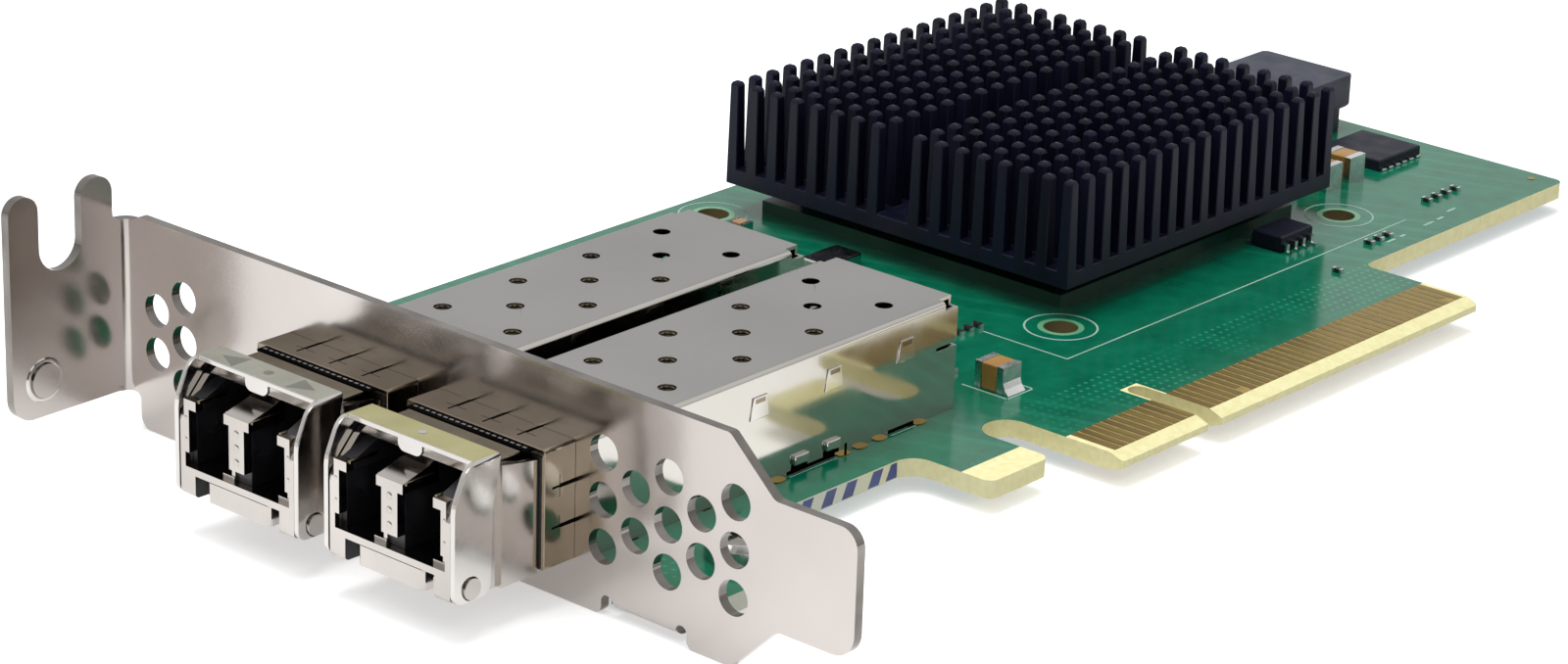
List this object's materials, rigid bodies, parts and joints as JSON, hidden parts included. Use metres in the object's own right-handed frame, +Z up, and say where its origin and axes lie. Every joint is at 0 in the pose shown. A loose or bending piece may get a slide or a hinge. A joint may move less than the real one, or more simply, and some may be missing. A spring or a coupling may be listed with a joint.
{
  "type": "network interface card",
  "caption": "Low-profile network card with folded bracket, two caged fibre modules with hinged bails, a pin-fin heat sink and a keyed card-edge connector.",
  "frame": {"origin": "on the bracket's front face, where the plane of the board's component side meets the line of the card-edge tip", "axes": "+X from the bracket to the rear of the card, +Y from the card-edge tip to the screw tab, +Z up from the component side of the board"},
  "size_m": [0.1457, 0.0792, 0.0222],
  "materials": {
    "bail_khaki": "satin khaki",
    "bail_pale": "satin pale green white",
    "bracket_steel": "bright nickel, soft mirror",
    "cage_metal": "satin",
    "can_metal": "satin",
    "ceramic_tan": "satin",
    "collar_metal": "bright",
    "connector_black": "matt",
    "contact_gold": "satin",
    "inductor_grey": "matt",
    "insert_black": "satin",
    "laminate": "gloss green solder mask",
    "module_metal": "satin, warm",
    "package_black": "matt",
    "package_green": "matt",
    "pad_grey": "matt",
    "resistor_black": "satin",
    "screw_steel": "bright",
    "seal_black": "matt",
    "sink_black": "black anodised",
    "sleeve_metal": "satin",
    "tin": "satin"
  },
  "bodies": {
    "card": {"bracket_screws": "screw_steel", "ceramic_capacitors": "ceramic_tan", "chip_lid": "package_black", "chip_resistors": "resistor_black", "chip_substrate": "package_green", "chip_terminals": "tin", "circuit_board": "laminate", "crystal": "can_metal", "decoupling_capacitors": "ceramic_tan", "decoupling_terminals": "tin", "edge_contacts_component_side": "contact_gold", "edge_contacts_solder_side": "contact_gold", "flash_memory": "package_black", "heat_sink": "sink_black", "left_cage_base": "cage_metal", "left_cage_shell": "cage_metal", "left_emi_collar": "collar_metal", "left_ferrule_sleeves": "sleeve_metal", "left_host_connector": "connector_black", "left_module_board": "laminate", "left_module_cover": "module_metal", "left_module_housing": "module_metal", "left_mouth_seal": "seal_black", "left_optical_barrels": "sleeve_metal", "left_receptacle_insert": "insert_black", "left_rocker_pin": "screw_steel", "mounting_bracket": "bracket_steel", "package_leads": "tin", "power_inductor": "inductor_grey", "power_stage": "package_black", "regulator_driver": "package_black", "right_cage_base": "cage_metal", "right_cage_shell": "cage_metal", "right_emi_collar": "collar_metal", "right_ferrule_sleeves": "sleeve_metal", "right_host_connector": "connector_black", "right_module_board": "laminate", "right_module_cover": "module_metal", "right_module_housing": "module_metal", "right_mouth_seal": "seal_black", "right_optical_barrels": "sleeve_metal", "right_receptacle_insert": "insert_black", "right_rocker_pin": "screw_steel", "thermal_pad": "pad_grey"},
    "left_bail": {"left_bail": "bail_pale"},
    "right_bail": {"right_bail": "bail_khaki"},
    "left_latch": {"left_latch_rocker": "module_metal"},
    "right_latch": {"right_latch_rocker": "module_metal"}
  },
  "joints": [
    {"name": "left_bail_hinge", "type": "hinge", "parent": "card", "child": "left_bail", "pos_m": [-0.01055, 0.0401, 0.0014], "axis": [0, -1, 0], "range_deg": [0, 90]},
    {"name": "left_latch_hinge", "type": "hinge", "parent": "card", "child": "left_latch", "pos_m": [-0.0042, 0.0401, 0.0017], "axis": [0, -1, 0], "range_deg": [0, 5]},
    {"name": "right_bail_hinge", "type": "hinge", "parent": "card", "child": "right_bail", "pos_m": [-0.01055, 0.02335, 0.0014], "axis": [0, -1, 0], "range_deg": [0, 90]},
    {"name": "right_latch_hinge", "type": "hinge", "parent": "card", "child": "right_latch", "pos_m": [-0.0042, 0.02335, 0.0017], "axis": [0, -1, 0], "range_deg": [0, 5]}
  ],
  "couplings": [
    {"joint": "left_latch_hinge", "follows": "left_bail_hinge", "ratio": 0.055},
    {"joint": "right_latch_hinge", "follows": "right_bail_hinge", "ratio": 0.055}
  ]
}
